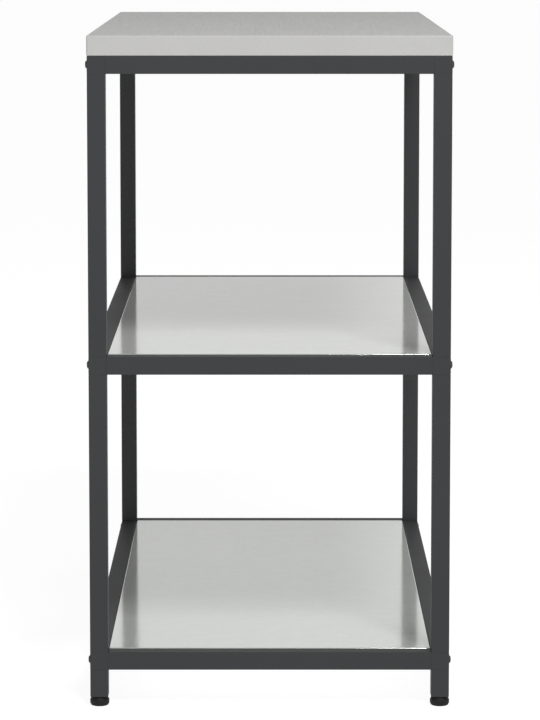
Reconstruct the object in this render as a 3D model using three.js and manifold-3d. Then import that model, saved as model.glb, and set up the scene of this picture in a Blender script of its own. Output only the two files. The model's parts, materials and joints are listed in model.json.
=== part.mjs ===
// A potting bench: a grey wooden worktop on a bolted frame of square steel tube,
// with two pressed steel shelves and four levelling feet.
// Millimetres, +Z up, the origin on the floor under the middle of the bench.
// X runs across the bench (left is -X), Y along it (near is -Y, far is +Y).

import * as THREE from 'three';
import { mergeVertices } from 'three/addons/utils/BufferGeometryUtils.js';
import Module from 'manifold-3d';

const wasm = await Module();
wasm.setup();

// ---- Driving dimensions ----

// The whole bench
const benchWidth = 500; // across the steel frame
const benchLength = 1000; // along the steel frame
const benchHeight = 935; // floor to the worktop's surface
const bottomLevel = 77; // floor to the top of the lowest frame

// Square tube of the rails and legs
const tubeSize = 25;
const tubeWall = 1.5;
const tubeCorner = 1.2; // outside radius
const endPlate = 1.5; // plate welded over each end of a long rail

// Spigots that join the legs through the frames
const spigotGap = 1; // around the spigot inside the tube of a leg
const spigotWall = 1.5;
const spigotCorner = 1.2;
const spigotRoot = 12; // length inside the leg that it is welded to
const spigotEntry = 20; // length that enters the leg above
const spigotHoleGap = 0.4; // around the spigot where it passes through a rail
const spigotTopGap = 0.5; // under the closed upper wall of the top frame
const weldPlate = 2; // plate between leg and spigot
const weldNutWall = 2; // around its thread
const weldNutThickness = 4;

// Corner bolts, M6 with a low button head
const boltRadius = 3;
const boltLength = 16;
const boltHeadRadius = 5.5;
const boltHeadHeight = 2.8;
const boltSocket = 4; // across the flats of the hexagon
const boltSocketDepth = 1.6;
const holeGap = 0.3; // around a bolt, screw or stem in its hole

// Worktop and the screws that hold it from below
const worktopThickness = 28;
const worktopOverhang = 0.7; // past the frame on each side
const worktopEdge = 4; // radius of the long and end edges
const worktopCorner = 1; // added to that radius at the upright corners
const screwRadius = 2.25;
const screwBite = 16; // length inside the worktop
const screwHeadRadius = 4.5;
const screwHeadHeight = 2.4;
const screwsPerRail = 3;
const screwEndDistance = 100; // from the end of the frame to the outer screws

// Shelves of bent sheet
const sheet = 1;
const shelfBend = 2.5; // outside radius of the bent edge
const shelfLip = 18; // height of the shelf with its turned-down lips
const shelfProud = 0.5; // above the rails
const shelfGap = 0.5; // to the rails, all round
const stiffenerWidth = 30;
const stiffenerHeight = 15;
const stiffenerFlange = 10; // spot-welded to the shelf, on each side
const stiffenerEndGap = 2; // from the stiffener's ends to the tabs on the cross rails

// Tabs on the rails that carry the shelves
const tabLength = 30;
const tabReach = 12;
const tabThickness = 2;
const tabsPerRail = 3;
const tabEndDistance = 120; // from the end of the frame to the outer tabs

// Levelling feet, M8
const footHeight = 13.5; // floor to the end of the leg, screwed in
const footTravel = 12;
const footRim = 1; // past the sides of the tube
const footSoleInset = 2; // from the widest band to the flat sole
const footBandLow = 3.2; // the widest band lies between these two heights
const footBandHigh = 7.8;
const stemRadius = 4;
const stemGrip = 12; // thread still in the insert when the foot is screwed out
const stemSeat = 4; // floor to the stem's lower end inside the foot
const insertGap = 0.3; // between the insert and the leg's bore
const insertTopGap = 2; // between the insert and the spigot above it

// Facets of round pieces
const boltSides = 12;
const stemSides = 16;
const footSides = 24;
const bendSteps = 2;

// ---- Sizes that follow ----

const halfTube = tubeSize / 2;
const bore = tubeSize - 2 * tubeWall;
const spigotSize = bore - 2 * spigotGap;
const cornerX = benchWidth / 2 - halfTube; // centre line of the legs and long rails
const cornerY = benchLength / 2 - halfTube; // centre line of the legs and cross rails
const innerWidth = benchWidth - 2 * tubeSize;
const innerLength = benchLength - 2 * tubeSize;
const topLevel = benchHeight - worktopThickness;
const middleLevel = (topLevel + bottomLevel) / 2;
const legLength = middleLevel - tubeSize - bottomLevel;
const footRadius = halfTube + footRim;
const footLegLength = bottomLevel - tubeSize - footHeight;
const tabTop = halfTube + shelfProud - shelfLip; // from the rail's centre line
const stemLength = footHeight - stemSeat + footTravel + stemGrip;

// ---- Materials ----

function finish(color, roughness, metalness) {
  return new THREE.MeshStandardMaterial({ color, roughness, metalness });
}

const powderCoat = finish(0x464748, 0.55, 0.2);
const greyBoard = finish(0xc2c1bf, 0.6, 0);
const zincSheet = finish(0xc8cac9, 0.25, 0.9);
const blackPlastic = finish(0x17181a, 0.5, 0);
const darkBolt = finish(0x2e2f31, 0.4, 0.7);
const zincSteel = finish(0xb4b6b8, 0.35, 0.9);

// ---- Solids: three.js shapes, joined and cut ----

function toSolid(geometry) {
  const bare = geometry.clone();
  bare.deleteAttribute('normal');
  bare.deleteAttribute('uv');
  const merged = mergeVertices(bare);
  return new wasm.Manifold(new wasm.Mesh({
    numProp: 3,
    vertProperties: merged.attributes.position.array,
    triVerts: new Uint32Array(merged.index.array),
  }));
}

function toGeometry(solid) {
  const mesh = solid.getMesh();
  const geometry = new THREE.BufferGeometry();
  geometry.setAttribute('position', new THREE.BufferAttribute(mesh.vertProperties, 3));
  geometry.setIndex(new THREE.BufferAttribute(mesh.triVerts, 1));
  geometry.computeVertexNormals();
  return geometry;
}

// A box from its two opposite corners.
function block(low, high) {
  const size = high.map((value, i) => value - low[i]);
  const middle = high.map((value, i) => (value + low[i]) / 2);
  return toSolid(new THREE.BoxGeometry(...size).translate(...middle));
}

function roundedRectangle(width, length, corner) {
  const x = width / 2 - corner;
  const y = length / 2 - corner;
  const quarter = Math.PI / 2;
  const outline = new THREE.Shape();
  outline.absarc(x, y, corner, 0, quarter);
  outline.absarc(-x, y, corner, quarter, 2 * quarter);
  outline.absarc(-x, -y, corner, 2 * quarter, 3 * quarter);
  outline.absarc(x, -y, corner, 3 * quarter, 4 * quarter);
  return outline;
}

// A square bar standing on z = 0.
function squareBar(size, corner, length) {
  return new THREE.ExtrudeGeometry(roundedRectangle(size, size, corner), {
    depth: length,
    bevelEnabled: false,
    curveSegments: 1,
  });
}

function squareTube(size, corner, wall, low, high) {
  const half = size / 2 - wall;
  const outside = toSolid(squareBar(size, corner, high - low).translate(0, 0, low));
  return outside.subtract(block([-half, -half, low - 1], [half, half, high + 1]));
}

// A round bar along Z.
function roundBar(radius, low, high, sides) {
  const bar = new THREE.CylinderGeometry(radius, radius, high - low, sides);
  return bar.rotateX(Math.PI / 2).translate(0, 0, (low + high) / 2);
}

// A turned piece, from [radius, height] points that rise from axis to axis, standing on Z.
function turned(points, sides) {
  const profile = points.map(([radius, height]) => new THREE.Vector2(radius, height));
  return new THREE.LatheGeometry(profile, sides).rotateX(Math.PI / 2);
}

// Evenly spread places along Y, the outer ones a given distance from the frame's ends.
function spread(count, endDistance) {
  const reach = benchLength / 2 - endDistance;
  return Array.from({ length: count }, (_, i) => -reach + (2 * reach * i) / (count - 1));
}

// ---- Steel frame ----

// A long rail along Y, its outer side facing -X, its centre line on the Y axis.
// Its closed ends are the corners of the frame: the spigots pass up through them.
function longRail(level) {
  const half = bore / 2;
  const boreEnd = benchLength / 2 - endPlate;
  const bar = squareBar(tubeSize, tubeCorner, benchLength);
  bar.translate(0, 0, -benchLength / 2).rotateX(Math.PI / 2);
  let rail = toSolid(bar).subtract(block([-half, -boreEnd, -half], [half, boreEnd, half]));

  const hole = spigotSize / 2 + spigotHoleGap;
  const holeTop = level === 'top' ? 0 : tubeSize;
  for (const y of [-cornerY, cornerY]) {
    rail = rail.subtract(block([-hole, y - hole, -tubeSize], [hole, y + hole, holeTop]));
    const boltHole = roundBar(boltRadius + holeGap, -tubeSize, 0, boltSides);
    rail = rail.subtract(toSolid(boltHole.rotateY(Math.PI / 2).translate(0, y, 0)));
  }

  if (level === 'top') {
    for (const y of spread(screwsPerRail, screwEndDistance)) {
      const screwHole = roundBar(screwRadius + holeGap, -tubeSize, tubeSize, boltSides);
      rail = rail.subtract(toSolid(screwHole.translate(0, y, 0)));
    }
    return toGeometry(rail);
  }

  for (const y of spread(tabsPerRail, tabEndDistance)) {
    const low = [halfTube - tubeWall / 2, y - tabLength / 2, tabTop - tabThickness];
    rail = rail.add(block(low, [halfTube + tabReach, y + tabLength / 2, tabTop]));
  }
  return toGeometry(rail);
}

// A cross rail along X between the long rails, its outer side facing -Y.
function crossRail(level) {
  const end = innerWidth / 2;
  const tube = squareTube(tubeSize, tubeCorner, tubeWall, -end, end);
  if (level === 'top') {
    return toGeometry(tube).rotateY(Math.PI / 2);
  }
  const geometry = toGeometry(tube).rotateY(Math.PI / 2);
  const low = [-tabLength / 2, halfTube - tubeWall / 2, tabTop - tabThickness];
  const tab = block(low, [tabLength / 2, halfTube + tabReach, tabTop]);
  return toGeometry(toSolid(geometry).add(tab));
}

// A leg standing on z = 0, with its spigot and weld nut; the nut's mouth faces -X.
function leg(length, spigotRise) {
  const insideSpigot = spigotSize / 2 - spigotWall;
  const plateHalf = halfTube - tubeWall / 2;
  const tube = squareTube(tubeSize, tubeCorner, tubeWall, 0, length);
  const plateLow = [-plateHalf, -plateHalf, length - weldPlate];
  const plate = block(plateLow, [plateHalf, plateHalf, length]);
  const top = length + spigotRise;
  const bottom = length - spigotRoot;
  const spigot = toSolid(squareBar(spigotSize, spigotCorner, top - bottom).translate(0, 0, bottom));
  const spigotBore = block(
    [-insideSpigot, -insideSpigot, bottom - 1],
    [insideSpigot, insideSpigot, top + 1],
  );

  const boltHeight = length + halfTube;
  const nutStart = spigotWall / 2 - spigotSize / 2;
  const nutEnd = nutStart + spigotWall / 2 + weldNutThickness;
  const nut = roundBar(boltRadius + weldNutWall, nutStart, nutEnd, boltSides);
  const boltHole = roundBar(boltRadius + holeGap, -tubeSize, 0, boltSides);
  for (const along of [nut, boltHole]) {
    along.rotateY(Math.PI / 2).translate(0, 0, boltHeight);
  }
  const shell = tube.add(plate).add(spigot).subtract(spigotBore);
  return toGeometry(shell.add(toSolid(nut)).subtract(toSolid(boltHole)));
}

// ---- Fasteners ----

// A corner bolt along X: its head's underside on x = 0, its head towards -X.
function cornerBolt() {
  const tip = 0.6;
  const rim = 0.7;
  const points = [
    [0, -boltLength],
    [boltRadius - tip, -boltLength],
    [boltRadius, -boltLength + tip],
    [boltRadius, 0],
    [boltHeadRadius, 0],
    [boltHeadRadius, rim],
    [boltHeadRadius * 0.86, boltHeadHeight * 0.68],
    [boltHeadRadius * 0.55, boltHeadHeight],
    [0, boltHeadHeight],
  ];
  const socketRadius = boltSocket / Math.sqrt(3);
  const socketLow = boltHeadHeight - boltSocketDepth;
  const socket = roundBar(socketRadius, socketLow, boltHeadHeight + 1, 6);
  const bolt = toSolid(turned(points, boltSides)).subtract(toSolid(socket));
  return toGeometry(bolt).rotateY(-Math.PI / 2);
}

// A worktop screw standing on its point's axis: its head's underside on z = 0, the head below.
function worktopScrew() {
  const top = tubeSize + screwBite;
  const point = 3;
  return turned([
    [0, -screwHeadHeight],
    [screwHeadRadius * 0.6, -screwHeadHeight],
    [screwHeadRadius, -screwHeadHeight * 0.3],
    [screwHeadRadius, 0],
    [screwRadius, 0],
    [screwRadius, top - point],
    [0, top],
  ], boltSides);
}

// ---- Worktop ----

// The board, its underside on z = 0, with a pilot hole for each screw.
function worktop() {
  const width = benchWidth + 2 * worktopOverhang;
  const length = benchLength + 2 * worktopOverhang;
  const flat = roundedRectangle(width - 2 * worktopEdge, length - 2 * worktopEdge, worktopCorner);
  const board = new THREE.ExtrudeGeometry(flat, {
    depth: worktopThickness - 2 * worktopEdge,
    bevelThickness: worktopEdge,
    bevelSize: worktopEdge,
    bevelSegments: 3,
    curveSegments: 1,
  });
  let solid = toSolid(board.translate(0, 0, worktopEdge));
  for (const x of [-cornerX, cornerX]) {
    for (const y of spread(screwsPerRail, screwEndDistance)) {
      const pilot = roundBar(screwRadius + holeGap, -1, screwBite + holeGap, boltSides);
      solid = solid.subtract(toSolid(pilot.translate(x, y, 0)));
    }
  }
  return toGeometry(solid);
}

// ---- Shelves ----

// A block with rounded upper edges, its top on z = 0 and its open bottom on z = -height.
function bentBlock(width, length, height, bend) {
  const flat = new THREE.Shape([
    new THREE.Vector2(bend - width / 2, bend - length / 2),
    new THREE.Vector2(width / 2 - bend, bend - length / 2),
    new THREE.Vector2(width / 2 - bend, length / 2 - bend),
    new THREE.Vector2(bend - width / 2, length / 2 - bend),
  ]);
  const rounded = new THREE.ExtrudeGeometry(flat, {
    depth: height,
    bevelThickness: bend,
    bevelSize: bend,
    bevelSegments: bendSteps,
  });
  const solid = toSolid(rounded.translate(0, 0, -height - bend));
  const floor = [-width, -length, -height - 3 * bend];
  return solid.subtract(block(floor, [width, length, -height]));
}

// A shelf tray, its upper face on z = 0.
function shelf() {
  const width = innerWidth - 2 * shelfGap;
  const length = innerLength - 2 * shelfGap;
  const outside = bentBlock(width, length, shelfLip, shelfBend);
  const hollow = bentBlock(
    width - 2 * sheet,
    length - 2 * sheet,
    shelfLip,
    shelfBend - sheet,
  ).translate([0, 0, -sheet]);
  return toGeometry(outside.subtract(hollow));
}

// A hat section along Y under a shelf, its flanges' upper faces on z = 0 and its web below.
function stiffener() {
  const length = innerLength - 2 * (tabReach + stiffenerEndGap);
  const half = stiffenerWidth / 2;
  const rim = half + stiffenerFlange;
  const side = [
    [rim, 0],
    [rim, -sheet],
    [half, -sheet],
    [half, -stiffenerHeight],
  ];
  const inside = [
    [half - sheet, sheet - stiffenerHeight],
    [half - sheet, 0],
  ];
  const mirrored = (points) => points.map(([x, z]) => [-x, z]).reverse();
  const outline = [...side, ...mirrored(side), ...mirrored(inside), ...inside];
  const hat = new THREE.Shape(outline.map(([x, z]) => new THREE.Vector2(x, z)));
  const bar = new THREE.ExtrudeGeometry(hat, { depth: length, bevelEnabled: false });
  return bar.translate(0, 0, -length / 2).rotateX(Math.PI / 2);
}

// ---- Levelling feet ----

// The foot's pad on z = 0, with the seat of its stem.
function footPad() {
  const seat = stemRadius + holeGap;
  return turned([
    [0, 0],
    [footRadius - footSoleInset, 0],
    [footRadius, footBandLow],
    [footRadius, footBandHigh],
    [bore / 2, footHeight],
    [seat, footHeight],
    [seat, stemSeat],
    [0, stemSeat],
  ], footSides);
}

// The threaded stem, standing on z = 0.
function footStem() {
  const tip = 0.8;
  return turned([
    [0, 0],
    [stemRadius, 0],
    [stemRadius, stemLength - tip],
    [stemRadius - tip, stemLength],
    [0, stemLength],
  ], stemSides);
}

// The threaded insert pressed into the end of a leg, its lower face on z = 0.
function footInsert() {
  const height = footLegLength - spigotRoot - insertTopGap;
  const plug = toSolid(squareBar(bore - 2 * insertGap, 0.5, height));
  const hole = roundBar(stemRadius + holeGap, -1, height + 1, stemSides);
  return toGeometry(plug.subtract(toSolid(hole)));
}

// ---- Assembly ----

const bench = new THREE.Group();

function place(parent, name, geometry, material, x, y, z, turn = 0) {
  const mesh = new THREE.Mesh(geometry, material);
  mesh.name = name;
  mesh.position.set(x, y, z);
  mesh.rotation.z = turn;
  parent.add(mesh);
}

const sides = [
  { name: 'left', x: -1, turn: 0 },
  { name: 'right', x: 1, turn: Math.PI },
];
const ends = [
  { name: 'near', y: -1, turn: 0 },
  { name: 'far', y: 1, turn: Math.PI },
];
const levels = [
  { name: 'bottom', top: bottomLevel },
  { name: 'middle', top: middleLevel },
  { name: 'top', top: topLevel },
];
const bolt = cornerBolt();

// The three frames, each with its bolts.
for (const level of levels) {
  const frame = new THREE.Group();
  frame.position.z = level.top - halfTube;
  bench.add(frame);
  const rail = longRail(level.name);
  const cross = crossRail(level.name);
  for (const side of sides) {
    const name = `${level.name}_rail_${side.name}`;
    place(frame, name, rail, powderCoat, side.x * cornerX, 0, 0, side.turn);
    for (const end of ends) {
      const boltName = `${level.name}_bolt_${end.name}_${side.name}`;
      const outer = (side.x * benchWidth) / 2;
      place(frame, boltName, bolt, darkBolt, outer, end.y * cornerY, 0, side.turn);
    }
  }
  for (const end of ends) {
    const name = `${level.name}_cross_rail_${end.name}`;
    place(frame, name, cross, powderCoat, 0, end.y * cornerY, 0, end.turn);
  }
}

// The four corners: legs between the frames, and a levelling foot under each.
const throughRise = tubeSize + spigotEntry;
const legShapes = [
  { name: 'foot_leg', bottom: footHeight, shape: leg(footLegLength, throughRise) },
  { name: 'lower_leg', bottom: bottomLevel, shape: leg(legLength, throughRise) },
  {
    name: 'upper_leg',
    bottom: middleLevel,
    shape: leg(legLength, tubeSize - tubeWall - spigotTopGap),
  },
];
const pad = footPad();
const stem = footStem();
const insert = footInsert();
for (const side of sides) {
  for (const end of ends) {
    const corner = new THREE.Group();
    corner.position.set(side.x * cornerX, end.y * cornerY, 0);
    bench.add(corner);
    const where = `${end.name}_${side.name}`;
    for (const { name, bottom, shape } of legShapes) {
      place(corner, `${name}_${where}`, shape, powderCoat, 0, 0, bottom, side.turn);
    }
    place(corner, `foot_insert_${where}`, insert, blackPlastic, 0, 0, footHeight);
    place(corner, `foot_pad_${where}`, pad, blackPlastic, 0, 0, 0);
    place(corner, `foot_stem_${where}`, stem, zincSteel, 0, 0, stemSeat);
  }
}

// The worktop and its screws.
place(bench, 'worktop', worktop(), greyBoard, 0, 0, topLevel);
const screw = worktopScrew();
for (const side of sides) {
  spread(screwsPerRail, screwEndDistance).forEach((y, i) => {
    const name = `worktop_screw_${side.name}_${i + 1}`;
    place(bench, name, screw, zincSteel, side.x * cornerX, y, topLevel - tubeSize);
  });
}

// The two shelves, each with its stiffener.
const tray = shelf();
const channel = stiffener();
for (const level of levels.filter(({ name }) => name !== 'top')) {
  const surface = level.top + shelfProud;
  place(bench, `${level.name}_shelf`, tray, zincSheet, 0, 0, surface);
  place(bench, `${level.name}_shelf_stiffener`, channel, zincSheet, 0, 0, surface - sheet);
}

export default bench;
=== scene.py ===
import json
import math

import bmesh
import bpy
from mathutils import Matrix, Vector


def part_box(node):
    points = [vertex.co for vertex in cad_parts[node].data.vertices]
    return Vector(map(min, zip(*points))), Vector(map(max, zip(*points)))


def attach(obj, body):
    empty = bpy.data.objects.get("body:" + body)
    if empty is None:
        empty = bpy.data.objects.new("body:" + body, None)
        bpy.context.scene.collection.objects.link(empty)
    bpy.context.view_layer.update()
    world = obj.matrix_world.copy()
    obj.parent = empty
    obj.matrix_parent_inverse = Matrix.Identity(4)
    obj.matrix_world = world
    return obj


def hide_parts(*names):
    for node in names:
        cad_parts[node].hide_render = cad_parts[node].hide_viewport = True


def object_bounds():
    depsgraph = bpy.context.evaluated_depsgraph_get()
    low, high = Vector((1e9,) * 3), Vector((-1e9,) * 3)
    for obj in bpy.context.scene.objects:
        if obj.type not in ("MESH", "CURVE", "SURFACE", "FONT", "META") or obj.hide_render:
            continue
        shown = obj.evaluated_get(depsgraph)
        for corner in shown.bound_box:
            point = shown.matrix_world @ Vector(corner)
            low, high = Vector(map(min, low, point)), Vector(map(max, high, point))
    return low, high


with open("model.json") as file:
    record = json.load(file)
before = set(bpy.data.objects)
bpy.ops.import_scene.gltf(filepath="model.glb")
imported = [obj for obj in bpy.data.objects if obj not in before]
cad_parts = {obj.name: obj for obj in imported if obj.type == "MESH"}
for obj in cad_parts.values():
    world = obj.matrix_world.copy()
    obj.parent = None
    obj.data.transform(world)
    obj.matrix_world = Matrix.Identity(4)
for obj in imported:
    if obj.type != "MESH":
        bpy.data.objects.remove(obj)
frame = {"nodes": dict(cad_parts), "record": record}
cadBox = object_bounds()
scene = bpy.context.scene
slotOf = {part["node"]: part["material_slot"] for part in frame["record"]["subparts"]}
bodyOf = {
    node: body
    for body, nodes in frame["record"]["behaviour"]["bodies"].items()
    for node in nodes
}
levels = ("bottom", "middle", "top")
sides = {"left": -1, "right": 1}  # along X
ends = {"near": -1, "far": 1}  # along Y
print("frame loaded:", len(frame["nodes"]), "nodes")


# camera, lights and floor

view = {
    "across": 0.0005,
    "distance": 4.4165,  # from the near end of the bench
    "height": 1.1069,
    "pitch": 6.065,  # degrees below level
    "lens": 161.66,
    "shiftUp": -0.15,
    "reach": 100,
}


def makeCamera():
    data = bpy.data.cameras.new("camera")
    data.lens = view["lens"]
    data.shift_y = view["shiftUp"]
    data.clip_end = view["reach"]
    camera = bpy.data.objects.new("camera", data)
    camera.location = (view["across"], cadBox[0].y - view["distance"], view["height"])
    camera.rotation_euler = (math.radians(90 - view["pitch"]), 0, 0)
    scene.collection.objects.link(camera)
    scene.camera = camera


studio = {
    "key": {"place": (0.99, -3.2, 4.1), "size": 1.3, "power": 135},
    "rim": {"place": (2.6, 3.6, 2.4), "size": 1.6, "power": 12},
    "aim": (0, 0, 0.6),
    "skyStops": (  # sine of the height, brightness
        (0.06, 0.97),
        (0.10, 0.81),
        (0.24, 0.81),
        (0.50, 0.38),
    ),
    "floorReach": 40,
    "floorColour": 0.22,
    "floorShade": 0.985,  # the darker parts of the paper
    "floorPatches": 0.6,
    "floorGlow": 0.88,  # a lit table under the bench
}


def makeLight(name, place, size, power):
    data = bpy.data.lights.new(name, "AREA")
    data.size = size
    data.energy = power
    light = bpy.data.objects.new(name, data)
    light.location = place
    toward = Vector(studio["aim"]) - light.location
    light.rotation_euler = toward.to_track_quat("-Z", "Y").to_euler()
    scene.collection.objects.link(light)


# shader nodes: a wire is a node's output, and sums on it add Math nodes


class Wire:
    def __init__(self, look, socket):
        self.look = look
        self.socket = socket

    def maths(self, operation, first, second):
        settings = {"operation": operation}
        return self.look.node("ShaderNodeMath", settings, {0: first, 1: second})

    def __add__(self, other):
        return self.maths("ADD", self, other)

    def __radd__(self, other):
        return self.maths("ADD", other, self)

    def __sub__(self, other):
        return self.maths("SUBTRACT", self, other)

    def __rsub__(self, other):
        return self.maths("SUBTRACT", other, self)

    def __mul__(self, other):
        return self.maths("MULTIPLY", self, other)

    def __rmul__(self, other):
        return self.maths("MULTIPLY", other, self)


class Look:
    def __init__(self, tree):
        self.tree = tree

    def node(self, kind, settings, inputs, output=0):
        node = self.tree.nodes.new(kind)
        for key, value in settings.items():
            if key == "stops":
                self.setStops(node.color_ramp, value)
            else:
                setattr(node, key, value)
        for key, value in inputs.items():
            self.feed(node.inputs[key], value)
        return Wire(self, node.outputs[output])

    def setStops(self, ramp, stops):
        while len(ramp.elements) < len(stops):
            ramp.elements.new(1)
        for element, (place, shade) in zip(ramp.elements, stops):
            element.position = place
            element.color = shade

    def feed(self, socket, value):
        if isinstance(value, Wire):
            self.tree.links.new(value.socket, socket)
        else:
            socket.default_value = value


class Finish(Look):
    def __init__(self, name, **constants):
        self.material = bpy.data.materials.new(name)
        self.material.use_nodes = True
        super().__init__(self.material.node_tree)
        self.surface = self.tree.nodes["Principled BSDF"]
        for key, value in constants.items():
            self.surface.inputs[key.replace("_", " ")].default_value = value
        self.place = self.node("ShaderNodeTexCoord", {}, {}, "Object")

    def noise(self, scale, stretch=(1, 1, 1), detail=2.0, roughness=0.5, warp=0.0):
        place = self.node("ShaderNodeMapping", {}, {"Vector": self.place, "Scale": stretch})
        inputs = {
            "Vector": place,
            "Scale": scale,
            "Detail": detail,
            "Roughness": roughness,
            "Distortion": warp,
        }
        return self.node("ShaderNodeTexNoise", {}, inputs)

    def remap(self, value, low, high, first, last):
        inputs = {"Value": value, 1: low, 2: high, 3: first, 4: last}
        return self.node("ShaderNodeMapRange", {}, inputs)

    def blend(self, factor, first, second):
        settings = {"data_type": "RGBA"}
        return self.node("ShaderNodeMix", settings, {0: factor, 6: first, 7: second}, 2)

    def bump(self, height, distance, strength=1.0):
        inputs = {"Height": height, "Distance": distance, "Strength": strength}
        return self.node("ShaderNodeBump", {}, inputs)

    def set(self, **wires):
        for key, value in wires.items():
            self.feed(self.surface.inputs[key.replace("_", " ")], value)


def rgb(red, green, blue):
    return (red, green, blue, 1)


def grey(level):
    return rgb(level, level, level)


def makeWorld():
    world = bpy.data.worlds.new("studio")
    world.use_nodes = True
    scene.world = world
    sky = Look(world.node_tree)
    direction = sky.node("ShaderNodeTexCoord", {}, {}, "Generated")
    height = sky.node("ShaderNodeSeparateXYZ", {}, {0: direction}, "Z")
    stops = [(place, grey(level)) for place, level in studio["skyStops"]]
    strength = sky.node("ShaderNodeValToRGB", {"stops": stops}, {0: height})
    background = world.node_tree.nodes["Background"]
    background.inputs["Color"].default_value = grey(1)
    sky.feed(background.inputs["Strength"], strength)


def makeFloor():
    shape = bmesh.new()
    bmesh.ops.create_grid(shape, x_segments=1, y_segments=1, size=studio["floorReach"])
    mesh = bpy.data.meshes.new("floor")
    shape.to_mesh(mesh)
    shape.free()
    paper = Finish(
        "paleFloor",
        Roughness=0.9,
        Specular_IOR_Level=0,
        Emission_Color=grey(1),
        Emission_Strength=studio["floorGlow"],
    )
    shade = paper.noise(studio["floorPatches"], detail=1.0)
    pale = studio["floorColour"]
    darker = pale * studio["floorShade"]
    paper.set(Base_Color=paper.blend(shade, grey(pale), grey(darker)))
    clear = paper.node("ShaderNodeBsdfTransparent", {}, {})
    behind = paper.node("ShaderNodeNewGeometry", {}, {}, "Backfacing")
    shaders = {0: behind, 1: Wire(paper, paper.surface.outputs[0]), 2: clear}
    seen = paper.node("ShaderNodeMixShader", {}, shaders)  # clear from below
    paper.feed(paper.tree.nodes["Material Output"].inputs["Surface"], seen)
    mesh.materials.append(paper.material)
    floor = bpy.data.objects.new("floor", mesh)
    scene.collection.objects.link(floor)


makeCamera()
makeWorld()
makeFloor()
for lightName in ("key", "rim"):
    makeLight(lightName, **studio[lightName])
scene.view_settings.view_transform = "Standard"
print("camera, lights and floor made")


# finishes

powderCoat = {
    "colour": rgb(0.0365, 0.0375, 0.0390),
    "paler": rgb(0.0465, 0.0475, 0.0490),
    "roughness": 0.5,
    "patches": 7,  # these sizes are waves per metre
    "speckle": 1100,
    "peel": 620,
    "finePeel": 2400,
    "peelDepth": 0.00007,
}
greyPaint = {
    "colour": rgb(0.440, 0.437, 0.431),
    "darker": rgb(0.383, 0.380, 0.374),
    "roughness": 0.48,
    "figure": 9,  # waves per metre again
    "fibre": 260,
    "pores": 700,
    "grooves": 420,
    "poreDepth": 0.00004,
}
zincSheet = {
    "colour": rgb(0.692, 0.705, 0.685),
    "paler": rgb(0.772, 0.785, 0.765),
    "metallic": 0.58,
    "roughness": 0.1,
    "spangle": 70,  # crystals per metre
    "streaks": 240,
    "clouds": 5,
    "streakDepth": 0.000004,
}
nylon = {
    "colour": rgb(0.006, 0.006, 0.0065),
    "paler": rgb(0.012, 0.012, 0.0125),
    "roughness": 0.65,
    "grain": 1500,
    "scuffs": 120,
    "grainDepth": 0.00003,
}
blackZinc = {
    "colour": rgb(0.035, 0.036, 0.038),
    "warmer": rgb(0.05, 0.048, 0.046),
    "metallic": 0.6,
    "roughness": 0.34,
}
brightZinc = {
    "colour": rgb(0.60, 0.61, 0.62),
    "warmer": rgb(0.66, 0.65, 0.60),
    "metallic": 1.0,
    "roughness": 0.3,
}
plating = {"haze": 260, "lines": 2400, "lineDepth": 0.00001}


def makePowderCoat(values):
    coat = Finish("anthracitePowderCoat", Specular_IOR_Level=0.11)
    patches = coat.noise(values["patches"], detail=3.0)
    speckle = coat.remap(coat.noise(values["speckle"], detail=1.0), 0.35, 0.65, 0, 1)
    finePeel = coat.noise(values["finePeel"], detail=1.0)
    peel = coat.noise(values["peel"], detail=2.0) + finePeel * 0.25
    coat.set(
        Base_Color=coat.blend(patches * 0.6 + speckle * 0.4, values["colour"], values["paler"]),
        Roughness=values["roughness"] + (patches - 0.5) * 0.12 + (speckle - 0.5) * 0.06,
        Normal=coat.bump(peel, values["peelDepth"]),
    )
    return coat


def makeGreyPaint(values):
    paint = Finish("greyPaintedWood", Specular_IOR_Level=0.4)
    figure = paint.noise(values["figure"], stretch=(1, 0.09, 1), detail=3.0, warp=1.2)
    fibre = paint.noise(values["fibre"], stretch=(1, 0.022, 1), detail=4.0, roughness=0.6)
    speckle = paint.noise(values["pores"], stretch=(1, 0.03, 1), detail=2.0)
    pores = paint.remap(speckle, 0.58, 0.75, 0, 1)
    tone = paint.remap(figure * 0.5 + fibre * 0.5, 0.3, 0.7, 0, 1)
    lines = paint.noise(values["grooves"], stretch=(1, 0.02, 1), detail=3.0)
    grooves = lines - pores * 0.6
    paint.set(
        Base_Color=paint.blend(tone * 0.55 + pores * 0.45, values["colour"], values["darker"]),
        Roughness=values["roughness"] + (fibre - 0.5) * 0.3 + pores * 0.1,
        Normal=paint.bump(grooves, values["poreDepth"]),
    )
    return paint


def makeZincSheet(values):
    zinc = Finish("zincCoatedSheet", Metallic=values["metallic"], Specular_IOR_Level=0.0)
    cells = {"Vector": zinc.place, "Scale": values["spangle"]}
    crystal = zinc.node("ShaderNodeTexVoronoi", {}, cells, "Color")
    tone = zinc.node("ShaderNodeSeparateColor", {}, {0: crystal}, 0)
    rolled = zinc.noise(values["streaks"], stretch=(1, 0.012, 1), detail=3.0)
    cloud = zinc.noise(values["clouds"], detail=3.0)
    mottle = tone * 0.25 + rolled * 0.3 + cloud * 0.45
    zinc.set(
        Base_Color=zinc.blend(mottle, values["colour"], values["paler"]),
        Roughness=values["roughness"] + (tone - 0.5) * 0.03 + (rolled - 0.5) * 0.05,
        Normal=zinc.bump(rolled, values["streakDepth"]),
    )
    return zinc


def makeNylon(values):
    plastic = Finish("blackNylon", Specular_IOR_Level=0.25)
    grain = plastic.noise(values["grain"], detail=2.0)
    scuff = plastic.noise(values["scuffs"], detail=4.0)
    plastic.set(
        Base_Color=plastic.blend(scuff * 0.5, values["colour"], values["paler"]),
        Roughness=values["roughness"] + (scuff - 0.5) * 0.2,
        Normal=plastic.bump(grain, values["grainDepth"]),
    )
    return plastic


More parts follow.
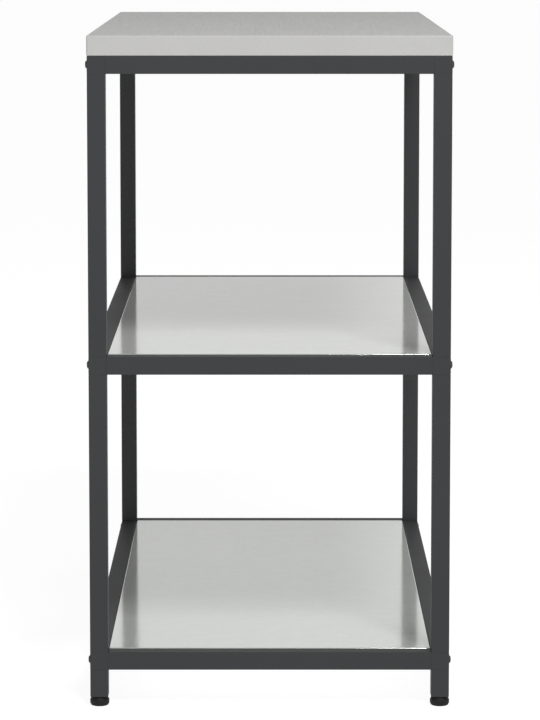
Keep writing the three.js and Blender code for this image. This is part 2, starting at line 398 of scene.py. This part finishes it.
def makePlating(name, values):
    coat = Finish(name, Metallic=values["metallic"])
    haze = coat.noise(plating["haze"], detail=3.0)
    lines = coat.noise(plating["lines"], detail=1.0)
    coat.set(
        Base_Color=coat.blend(haze, values["colour"], values["warmer"]),
        Roughness=values["roughness"] + (haze - 0.5) * 0.18,
        Normal=coat.bump(lines, plating["lineDepth"]),
    )
    return coat


finishes = {
    "frame_steel": makePowderCoat(powderCoat),
    "worktop_wood": makeGreyPaint(greyPaint),
    "shelf_steel": makeZincSheet(zincSheet),
    "foot_plastic": makeNylon(nylon),
    "bolts": makePlating("blackZinc", blackZinc),
    "zinc_steel": makePlating("brightZinc", brightZinc),
}
print("finishes made:", len(finishes))


# shaping tools

sameSpot = 1e-6  # points closer than this are one
squareTo = 0.999  # cosine above which an edge or a face counts as square to an axis
endSteps = 2  # in the rounding of a tube's ends
flatSmooth = 32  # degrees: a sharper edge stays sharp
turnedSmooth = 40


def pieceName(node):
    first, *rest = node.split("_")
    return first + "".join(word.capitalize() for word in rest)


def finishPiece(shape, node, smoothUpTo=flatSmooth):
    bmesh.ops.remove_doubles(shape, verts=shape.verts, dist=sameSpot)
    bmesh.ops.recalc_face_normals(shape, faces=shape.faces)
    mesh = bpy.data.meshes.new(pieceName(node))
    shape.to_mesh(mesh)
    shape.free()
    mesh.shade_smooth()
    mesh.set_sharp_from_angle(angle=math.radians(smoothUpTo))
    mesh.materials.append(finishes[slotOf[node]].material)
    piece = bpy.data.objects.new(mesh.name, mesh)
    scene.collection.objects.link(piece)
    shading = piece.modifiers.new("evenShading", "WEIGHTED_NORMAL")
    shading.keep_sharp = True
    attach(piece, bodyOf[node])
    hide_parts(node)
    return piece


def bevelEdges(shape, edges, radius, steps):
    bmesh.ops.bevel(
        shape,
        geom=edges,
        offset=radius,
        offset_type="OFFSET",
        segments=steps,
        profile=0.5,
        affect="EDGES",
        clamp_overlap=True,
        material=-1,
    )


def softenEdges(shape, angle, radius, steps):
    sharp = [edge for edge in shape.edges if edge.calc_face_angle(0) > math.radians(angle)]
    bevelEdges(shape, sharp, radius, steps)


def runsAlong(edge, axis):
    along = edge.verts[1].co - edge.verts[0].co
    return abs(along[axis]) > squareTo * along.length


def liesAt(edge, height):
    return all(abs(vert.co.z - height) < sameSpot for vert in edge.verts)


def capsOf(shape):
    return [face for face in shape.faces if abs(face.normal.z) > squareTo]


def newVerts(made):
    return [item for item in made if isinstance(item, bmesh.types.BMVert)]


def newEdges(made):
    return [item for item in made if isinstance(item, bmesh.types.BMEdge)]


# the middle of a box seen from above, at a height
def middleOf(low, high, height):
    return ((low.x + high.x) / 2, (low.y + high.y) / 2, height)


def turnShape(shape, axis, degrees):
    turn = Matrix.Rotation(math.radians(degrees), 3, axis)
    bmesh.ops.rotate(shape, cent=(0, 0, 0), matrix=turn, verts=shape.verts)


def moveShape(shape, place):
    bmesh.ops.translate(shape, vec=place, verts=shape.verts)


def addBlock(shape, low, high):
    low = Vector(low)
    high = Vector(high)
    made = bmesh.ops.create_cube(shape, size=1)["verts"]
    bmesh.ops.scale(shape, vec=high - low, verts=made)
    bmesh.ops.translate(shape, vec=(low + high) / 2, verts=made)
    return {edge for vert in made for edge in vert.link_edges}


# a square bar along Z with rounded long edges
def addBar(shape, width, corner, low, high, steps):
    half = width / 2
    edges = addBlock(shape, (-half, -half, low), (half, half, high))
    bevelEdges(shape, [edge for edge in edges if runsAlong(edge, 2)], corner, steps)


# bridges a wall to its bore at both ends, then draws the bore's ends level with the wall's:
# they stand out until then, because a bridge can't tell which way two level rings run
def closeEnds(shape, low, high):
    middle = (low + high) / 2
    rims = [edge for edge in shape.edges if edge.is_boundary]
    for upper in (False, True):
        end = [edge for edge in rims if (edge.verts[0].co.z > middle) == upper]
        bmesh.ops.bridge_loops(shape, edges=end)
    for vert in shape.verts:
        vert.co.z = min(max(vert.co.z, low), high)


def addTube(shape, width, wall, corner, low, high, steps, endEdge=0.0):
    part = bmesh.new()
    addBar(part, width, corner, low, high, steps)
    addBar(part, width - 2 * wall, corner / 3, low - wall, high + wall, steps)
    bmesh.ops.delete(part, geom=capsOf(part), context="FACES_ONLY")
    closeEnds(part, low, high)
    bmesh.ops.recalc_face_normals(part, faces=part.faces)
    if endEdge:
        outside = width / 2 - wall / 2
        rims = [
            edge
            for edge in part.edges
            if (liesAt(edge, low) or liesAt(edge, high))
            and all(max(abs(v.co.x), abs(v.co.y)) > outside for v in edge.verts)
        ]
        bevelEdges(part, rims, endEdge, endSteps)
    joinShape(shape, part)


def joinShape(shape, part):
    mesh = bpy.data.meshes.new("joined")
    part.to_mesh(mesh)
    part.free()
    shape.from_mesh(mesh)
    bpy.data.meshes.remove(mesh)


# a turned part, from points that give radius and height
def addTurned(shape, points, steps):
    verts = [shape.verts.new((radius, 0, height)) for radius, height in points]
    edges = [shape.edges.new(pair) for pair in zip(verts, verts[1:])]
    bmesh.ops.spin(
        shape,
        geom=verts + edges,
        axis=(0, 0, 1),
        cent=(0, 0, 0),
        angle=2 * math.pi,
        steps=steps,
        use_merge=True,
    )
    bmesh.ops.remove_doubles(shape, verts=shape.verts, dist=sameSpot)


# a threaded rod along Z: one tooth is swept up the helix and cut flat at both ends
def addThread(shape, radius, pitch, depth, low, high, steps):
    part = bmesh.new()
    tooth = ((0, 0), (0.12, 0), (0.46, 1), (0.54, 1), (0.88, 0), (1, 0))
    start = low - 1.5 * pitch
    turns = math.ceil((high - start) / pitch) + 1
    verts = [
        part.verts.new((radius - depth + depth * rise, 0, start + pitch * along))
        for along, rise in tooth
    ]
    edges = [part.edges.new(pair) for pair in zip(verts, verts[1:])]
    bmesh.ops.spin(
        part,
        geom=verts + edges,
        axis=(0, 0, 1),
        cent=(0, 0, 0),
        dvec=(0, 0, pitch / steps),
        angle=2 * math.pi * turns,
        steps=steps * turns,
    )
    bmesh.ops.remove_doubles(part, verts=part.verts, dist=sameSpot)
    for height, outward in ((low, -1), (high, 1)):
        bmesh.ops.bisect_plane(
            part,
            geom=part.verts[:] + part.edges[:] + part.faces[:],
            plane_co=(0, 0, height),
            plane_no=(0, 0, outward),
            clear_outer=True,
        )
        rim = [edge for edge in part.edges if edge.is_boundary and liesAt(edge, height)]
        bmesh.ops.contextual_create(part, geom=rim)
    joinShape(shape, part)


# a weld bead along Z, its rings swelling and shrinking
def addBead(shape, start, end, bead):
    start = Vector(start)
    along = Vector(end) - start
    part = bmesh.new()
    bmesh.ops.create_cone(
        part,
        cap_ends=True,
        segments=bead["sides"],
        radius1=bead["radius"],
        radius2=bead["radius"],
        depth=along.length,
    )
    rings = round(along.length / bead["ringStep"])
    uprights = [edge for edge in part.edges if runsAlong(edge, 2)]
    bmesh.ops.subdivide_edges(part, edges=uprights, cuts=rings, use_grid_fill=True)
    for vert in part.verts:
        swell = math.sin(2 * math.pi * vert.co.z / bead["ripple"])
        toEnd = along.length / 2 - abs(vert.co.z)
        taper = min(1.0, toEnd / bead["radius"] + bead["endTaper"])
        vert.co.xy *= taper * (1 + bead["swell"] * swell)
    turn = Vector((0, 0, 1)).rotation_difference(along).to_matrix()
    bmesh.ops.rotate(part, cent=(0, 0, 0), matrix=turn, verts=part.verts)
    moveShape(part, start + along / 2)
    joinShape(shape, part)


# places spread evenly along Y between two ends
def spread(low, high, margin, count):
    first = low + margin
    last = high - margin
    return [first + (last - first) * i / (count - 1) for i in range(count)]


# steel frame

tube = {
    "size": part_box("top_cross_rail_near")[1].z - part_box("top_cross_rail_near")[0].z,
    "wall": 0.0015,
    "corner": 0.0012,
    "cornerSteps": 4,
    "endEdge": 0.0003,
}
tab = {
    "length": 0.030,
    "thickness": 0.002,
    "corner": 0.004,
    "cornerSteps": 4,
    "edge": 0.0003,
    "softenAbove": 60,  # degrees
    "weld": 0.0016,  # radius of its bead
    "count": 3,
    "margin": 0.12,
}
bead = {
    "radius": 0.0022,
    "sides": 10,
    "ringStep": 0.0006,
    "ripple": 0.0022,
    "swell": 0.09,
    "endTaper": 0.35,  # the bead's radius at its ends, as a share of the full one
}
spigot = {
    "size": 0.020,
    "wall": 0.0015,
    "corner": 0.0012,
    "endEdge": 0.0004,
    "root": 0.012,
    "plate": 0.002,
    "plateCorner": 0.0004,
    "weld": 0.0002,  # how far the plate runs into the tube and the spigot
}


# a tab with rounded free corners, from the rail's face at the root to its reach
def addTab(shape, place, root, reach, axis, top):
    part = bmesh.new()
    half = tab["length"] / 2
    under = top - tab["thickness"]
    low = (-half, min(root, reach), 0)
    high = (half, max(root, reach), tab["thickness"])
    uprights = [edge for edge in addBlock(part, low, high) if runsAlong(edge, 2)]
    free = [edge for edge in uprights if abs(edge.verts[0].co.y - reach) < sameSpot]
    bevelEdges(part, free, tab["corner"], tab["cornerSteps"])
    softenEdges(part, tab["softenAbove"], tab["edge"], 1)
    if axis == "X":
        turnShape(part, "Z", -90)
        moveShape(part, (0, place, under))
        weldEnds = [(root, place + along, under) for along in (-half, half)]
    else:
        moveShape(part, (place, 0, under))
        weldEnds = [(place + along, root, under) for along in (-half, half)]
    joinShape(shape, part)
    addBead(shape, *weldEnds, dict(bead, radius=tab["weld"]))


def makeLongRail(level, side):
    node = f"{level}_rail_{side}"
    low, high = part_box(node)
    size = tube["size"]
    outward = sides[side]
    outer = low.x if outward < 0 else high.x
    inner = outer - outward * size
    shape = bmesh.new()
    addBar(shape, size, tube["corner"], low.y, high.y, tube["cornerSteps"])
    rims = [edge for edge in shape.edges if liesAt(edge, low.y) or liesAt(edge, high.y)]
    bevelEdges(shape, rims, tube["endEdge"], endSteps)
    turnShape(shape, "X", -90)
    moveShape(shape, ((outer + inner) / 2, 0, (low.z + high.z) / 2))
    if level != "top":
        reach = high.x if outward < 0 else low.x
        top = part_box(f"{level}_shelf")[0].z
        for place in spread(low.y, high.y, tab["margin"], tab["count"]):
            addTab(shape, place, inner, reach, "X", top)
    finishPiece(shape, node)


def makeCrossRail(level, end):
    node = f"{level}_cross_rail_{end}"
    low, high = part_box(node)
    size = tube["size"]
    outward = ends[end]
    outer = low.y if outward < 0 else high.y
    inner = outer - outward * size
    steps = tube["cornerSteps"]
    margin = bead["radius"] / 2
    shape = bmesh.new()
    addTube(shape, size, tube["wall"], tube["corner"], low.x, high.x, steps, tube["endEdge"])
    turnShape(shape, "Y", 90)
    moveShape(shape, (0, (outer + inner) / 2, (low.z + high.z) / 2))
    for x in (low.x, high.x):
        addBead(shape, (x, inner, low.z + margin), (x, inner, high.z - margin), bead)
    if level != "top":
        reach = high.y if outward < 0 else low.y
        addTab(shape, 0, inner, reach, "Y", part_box(f"{level}_shelf")[0].z)
    finishPiece(shape, node)


def makeLeg(stage, frameAbove, end, side):
    node = f"{stage}_{end}_{side}"
    low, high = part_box(node)
    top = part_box(f"{frameAbove}_rail_{side}")[0].z
    root = top - spigot["root"]
    steps = tube["cornerSteps"]
    wall = tube["wall"]
    core = spigot["size"]
    weld = spigot["weld"]
    plateSize = tube["size"] - 2 * wall + 2 * weld
    plateWall = (plateSize - core) / 2 + weld
    plateLow = top - spigot["plate"]
    shape = bmesh.new()
    addTube(shape, tube["size"], wall, tube["corner"], low.z, top, steps, tube["endEdge"])
    addTube(shape, core, spigot["wall"], spigot["corner"], root, high.z, steps, spigot["endEdge"])
    addTube(shape, plateSize, plateWall, spigot["plateCorner"], plateLow, top - weld, 1)
    moveShape(shape, middleOf(low, high, 0))
    finishPiece(shape, node)


for level in levels:
    for side in sides:
        makeLongRail(level, side)
    for end in ends:
        makeCrossRail(level, end)
for stage, frameAbove in (("foot_leg", "bottom"), ("lower_leg", "middle"), ("upper_leg", "top")):
    for end in ends:
        for side in sides:
            makeLeg(stage, frameAbove, end, side)
print("steel frame made")


# fasteners

bolt = {
    "shank": 0.003,
    "pitch": 0.001,
    "threadDepth": 0.0006,
    "threadSteps": 20,
    "overlap": 0.0002,  # of the shank's end into the head
    "rimEdge": 0.0003,
    "rimHeight": 0.0008,
    "crown": ((0.965, 0.45), (0.87, 0.68), (0.74, 0.86), (0.60, 0.96), (0.52, 1)),
    "socket": 0.004,  # across the flats
    "socketRing": 0.68,
    "socketDepth": 0.0016,
    "steps": 48,
}
screw = {
    "shank": 0.00225,
    "pitch": 0.0022,
    "threadDepth": 0.0007,
    "threadSteps": 14,
    "overlap": 0.0002,
    "point": 0.004,
    "pointEnd": 0.1,
    "crown": ((1, 0.25), (0.93, 0.62), (0.78, 0.88), (0.62, 1)),
    "drive": 0.0021,
    "driveRing": 1.25,
    "driveDepth": 0.0015,
    "lobes": 6,
    "lobeDepth": 0.13,
    "steps": 48,
}
recess = {"coneDepth": 0.2, "coneEnd": 0.15}  # the drilled bottom of a drive


# the points of a domed head, from shares of its radius and height
def crownPoints(shares, radius, height):
    return [(radius * across, height * up) for across, up in shares]


# sinks a recess into the open ring on top of a head: its outline gives a radius for each angle
def addRecess(shape, rimHeight, depth, steps, outline):
    rim = [edge for edge in shape.edges if edge.is_boundary and liesAt(edge, rimHeight)]
    made = bmesh.ops.create_circle(shape, cap_ends=False, segments=steps, radius=1)["verts"]
    for vert in made:
        vert.co.xy *= outline(math.atan2(vert.co.y, vert.co.x))
        vert.co.z = rimHeight
    mouth = list({edge for vert in made for edge in vert.link_edges})
    bmesh.ops.bridge_loops(shape, edges=rim + mouth)
    wall = bmesh.ops.extrude_edge_only(shape, edges=mouth)["geom"]
    bmesh.ops.translate(shape, vec=(0, 0, -depth), verts=newVerts(wall))
    bottom = [edge for edge in newEdges(wall) if liesAt(edge, rimHeight - depth)]
    cone = bmesh.ops.extrude_edge_only(shape, edges=bottom)["geom"]
    tip = newVerts(cone)
    bmesh.ops.translate(shape, vec=(0, 0, -depth * recess["coneDepth"]), verts=tip)
    bmesh.ops.scale(shape, vec=(recess["coneEnd"], recess["coneEnd"], 1), verts=tip)
    tipRim = [edge for edge in newEdges(cone) if edge.is_boundary]
    bmesh.ops.contextual_create(shape, geom=tipRim)


def hexagon(flats):
    sector = math.pi / 3
    return lambda angle: flats / 2 / math.cos((angle + sector / 2) % sector - sector / 2)


def star(radius, lobes):
    return lambda angle: radius * (1 + screw["lobeDepth"] * math.cos(lobes * angle))


# a threaded shank below a head that stands on the ground
def addShank(shape, sizes, length):
    addThread(
        shape,
        sizes["shank"],
        sizes["pitch"],
        sizes["threadDepth"],
        -length,
        sizes["overlap"],
        sizes["threadSteps"],
    )


def makeBolt(level, end, side):
    node = f"{level}_bolt_{end}_{side}"
    low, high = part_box(node)
    outward = sides[side]
    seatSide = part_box(f"{level}_rail_{side}")[0 if outward < 0 else 1].x
    tip = high.x if outward < 0 else low.x
    headTop = low.x if outward < 0 else high.x
    height = abs(headTop - seatSide)
    radius = (high.z - low.z) / 2
    shape = bmesh.new()
    head = [
        (0, 0),
        (radius - bolt["rimEdge"], 0),
        (radius, bolt["rimEdge"]),
        (radius, bolt["rimHeight"]),
        *crownPoints(bolt["crown"], radius, height),
        (bolt["socket"] * bolt["socketRing"], height),
    ]
    addTurned(shape, head, bolt["steps"])
    addRecess(shape, height, bolt["socketDepth"], bolt["steps"], hexagon(bolt["socket"]))
    addShank(shape, bolt, abs(tip - seatSide))
    turnShape(shape, "Y", 90 * outward)
    moveShape(shape, (seatSide, (low.y + high.y) / 2, (low.z + high.z) / 2))
    finishPiece(shape, node, turnedSmooth)


def makeScrew(side, number):
    node = f"worktop_screw_{side}_{number}"
    low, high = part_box(node)
    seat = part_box(f"top_rail_{side}")[0].z
    height = seat - low.z
    length = high.z - seat
    shape = bmesh.new()
    head = [
        (0, 0),
        ((high.x - low.x) / 2, 0),
        *crownPoints(screw["crown"], (high.x - low.x) / 2, height),
        (screw["drive"] * screw["driveRing"], height),
    ]
    addTurned(shape, head, screw["steps"])
    drive = star(screw["drive"], screw["lobes"])
    addRecess(shape, height, screw["driveDepth"], screw["steps"], drive)
    addShank(shape, screw, length)
    for vert in shape.verts:
        left = vert.co.z + length
        if left < screw["point"]:
            vert.co.xy *= screw["pointEnd"] + (1 - screw["pointEnd"]) * left / screw["point"]
    turnShape(shape, "X", 180)
    moveShape(shape, middleOf(low, high, seat))
    finishPiece(shape, node, turnedSmooth)


for side in sides:
    for end in ends:
        for level in levels:
            makeBolt(level, end, side)
    for number in (1, 2, 3):
        makeScrew(side, number)
print("bolts and screws made")


# worktop and shelves

board = {"uprightEdge": 0.003, "topEdge": 0.0025, "underEdge": 0.001, "steps": 5, "underSteps": 3}
shelf = {"sheet": 0.001, "bend": 0.0013, "corner": 0.004, "steps": 5}
stiffener = {"channel": 0.030, "bend": 0.0015, "bendSteps": 4}


def makeWorktop():
    low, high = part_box("worktop")
    shape = bmesh.new()
    edges = addBlock(shape, low, high)
    uprights = [edge for edge in edges if runsAlong(edge, 2)]
    bevelEdges(shape, uprights, board["uprightEdge"], board["steps"])
    topRim = [edge for edge in shape.edges if liesAt(edge, high.z)]
    bevelEdges(shape, topRim, board["topEdge"], board["steps"])
    underRim = [edge for edge in shape.edges if liesAt(edge, low.z)]
    bevelEdges(shape, underRim, board["underEdge"], board["underSteps"])
    finishPiece(shape, "worktop", turnedSmooth)


# gives an open sheet its thickness, behind the side on which the face lies
def thickenSheet(shape, face, facesUp):
    if (face.normal.z > 0) != facesUp:
        bmesh.ops.reverse_faces(shape, faces=shape.faces)
    bmesh.ops.solidify(shape, geom=shape.faces[:], thickness=shelf["sheet"])


def makeShelf(level):
    node = f"{level}_shelf"
    low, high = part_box(node)
    shape = bmesh.new()
    edges = addBlock(shape, low, high)
    under = [face for face in shape.faces if face.normal.z < -squareTo]
    corners = [edge for edge in edges if runsAlong(edge, 2)]
    bmesh.ops.delete(shape, geom=under, context="FACES_ONLY")
    bevelEdges(shape, corners, shelf["corner"], shelf["steps"])  # clear of the frame's welds
    folds = [edge for edge in shape.edges if liesAt(edge, high.z)]
    bevelEdges(shape, folds, shelf["bend"], shelf["steps"])
    bmesh.ops.recalc_face_normals(shape, faces=shape.faces)
    top = max(shape.faces, key=lambda face: face.calc_area())
    thickenSheet(shape, top, facesUp=True)
    finishPiece(shape, node)


def makeStiffener(level):
    node = f"{level}_shelf_stiffener"
    low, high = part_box(node)
    half = stiffener["channel"] / 2
    flange = high.z - shelf["sheet"]
    profile = (
        (low.x, flange),
        (-half, flange),
        (-half, low.z),
        (half, low.z),
        (half, flange),
        (high.x, flange),
    )
    shape = bmesh.new()
    verts = [shape.verts.new((x, low.y, z)) for x, z in profile]
    edges = [shape.edges.new(pair) for pair in zip(verts, verts[1:])]
    swept = bmesh.ops.extrude_edge_only(shape, edges=edges)["geom"]
    bmesh.ops.translate(shape, vec=(0, high.y - low.y, 0), verts=newVerts(swept))
    bends = [edge for edge in shape.edges if runsAlong(edge, 1) and not edge.is_boundary]
    bevelEdges(shape, bends, stiffener["bend"], stiffener["bendSteps"])
    bmesh.ops.recalc_face_normals(shape, faces=shape.faces)
    web = min(shape.faces, key=lambda face: face.calc_center_median().z)
    thickenSheet(shape, web, facesUp=False)
    finishPiece(shape, node)


makeWorktop()
for level in ("bottom", "middle"):
    makeShelf(level)
    makeStiffener(level)
print("worktop and shelves made")


# levelling feet

foot = {
    "steps": 64,
    "stemRadius": 0.004,
    "pitch": 0.00125,
    "threadDepth": 0.00075,
    "threadSteps": 28,
    "boreGap": 0.0003,
    "hollow": 0.0006,  # of the sole's middle
    "hollowReach": (0.55, 0.60),  # shares of the pad's radius
    "soleEdge": 0.0012,
    "soleInset": 0.0009,
    "soleHeight": 0.0026,  # where the sole ring meets the body
    "lipInset": 0.0001,
    "lipRise": 0.0003,
    "waist": 0.58,  # shares of the pad's height
    "shoulder": 0.68,
    "shoulderInset": 0.0008,
    "topInset": 0.0031,
    "topEdge": 0.0005,
    "topDrop": 0.0004,
    "padEdge": 0.00018,
    "padEdgeSteps": 2,
    "softenAbove": 25,  # degrees
    "insertCorner": 0.0006,
    "insertCornerSteps": 3,
}


def makePad(end, side):
    node = f"foot_pad_{end}_{side}"
    low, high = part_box(node)
    radius = (high.x - low.x) / 2
    height = high.z - low.z
    sole = foot["soleHeight"]
    ring = radius - foot["soleInset"]
    edge = foot["soleEdge"]
    top = radius - foot["topInset"]
    hollowStart, hollowEnd = foot["hollowReach"]
    neck = foot["stemRadius"] + foot["boreGap"]
    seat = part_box(f"foot_stem_{end}_{side}")[0].z
    shape = bmesh.new()
    profile = (
        (0, foot["hollow"]),
        (radius * hollowStart, foot["hollow"]),
        (radius * hollowEnd, 0),
        (ring - edge, 0),
        (ring, edge),
        (ring, sole),
        (radius - foot["lipInset"], sole + foot["lipRise"]),
        (radius, height * foot["waist"]),
        (radius - foot["shoulderInset"], height * foot["shoulder"]),
        (top + foot["topEdge"], height - foot["topDrop"]),
        (top, height),
        (neck, height),
        (neck, seat),
        (0, seat),
    )
    addTurned(shape, profile, foot["steps"])
    softenEdges(shape, foot["softenAbove"], foot["padEdge"], foot["padEdgeSteps"])
    moveShape(shape, middleOf(low, high, low.z))
    finishPiece(shape, node, turnedSmooth)


def makeStem(end, side):
    node = f"foot_stem_{end}_{side}"
    low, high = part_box(node)
    shape = bmesh.new()
    radius = foot["stemRadius"]
    steps = foot["threadSteps"]
    addThread(shape, radius, foot["pitch"], foot["threadDepth"], low.z, high.z, steps)
    moveShape(shape, middleOf(low, high, 0))
    finishPiece(shape, node, turnedSmooth)


def makeInsert(end, side):
    node = f"foot_insert_{end}_{side}"
    low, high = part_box(node)
    steps = foot["insertCornerSteps"]
    shape = bmesh.new()
    addBar(shape, high.x - low.x, foot["insertCorner"], low.z, high.z, steps)
    bmesh.ops.delete(shape, geom=capsOf(shape), context="FACES_ONLY")
    hole = foot["stemRadius"] + foot["boreGap"]
    outer = len([edge for edge in shape.edges if liesAt(edge, low.z)])
    made = bmesh.ops.create_circle(shape, cap_ends=False, segments=outer, radius=hole)["verts"]
    turn = Matrix.Rotation(math.pi / outer, 3, "Z")
    bmesh.ops.rotate(shape, cent=(0, 0, 0), matrix=turn, verts=made)
    bmesh.ops.translate(shape, vec=(0, 0, low.z - hole), verts=made)
    mouth = list({edge for vert in made for edge in vert.link_edges})
    bore = bmesh.ops.extrude_edge_only(shape, edges=mouth)["geom"]
    bmesh.ops.translate(shape, vec=(0, 0, high.z - low.z + 2 * hole), verts=newVerts(bore))
    closeEnds(shape, low.z, high.z)
    moveShape(shape, middleOf(low, high, 0))
    finishPiece(shape, node, turnedSmooth)


for end in ends:
    for side in sides:
        makePad(end, side)
        makeStem(end, side)
        makeInsert(end, side)
print("levelling feet made")
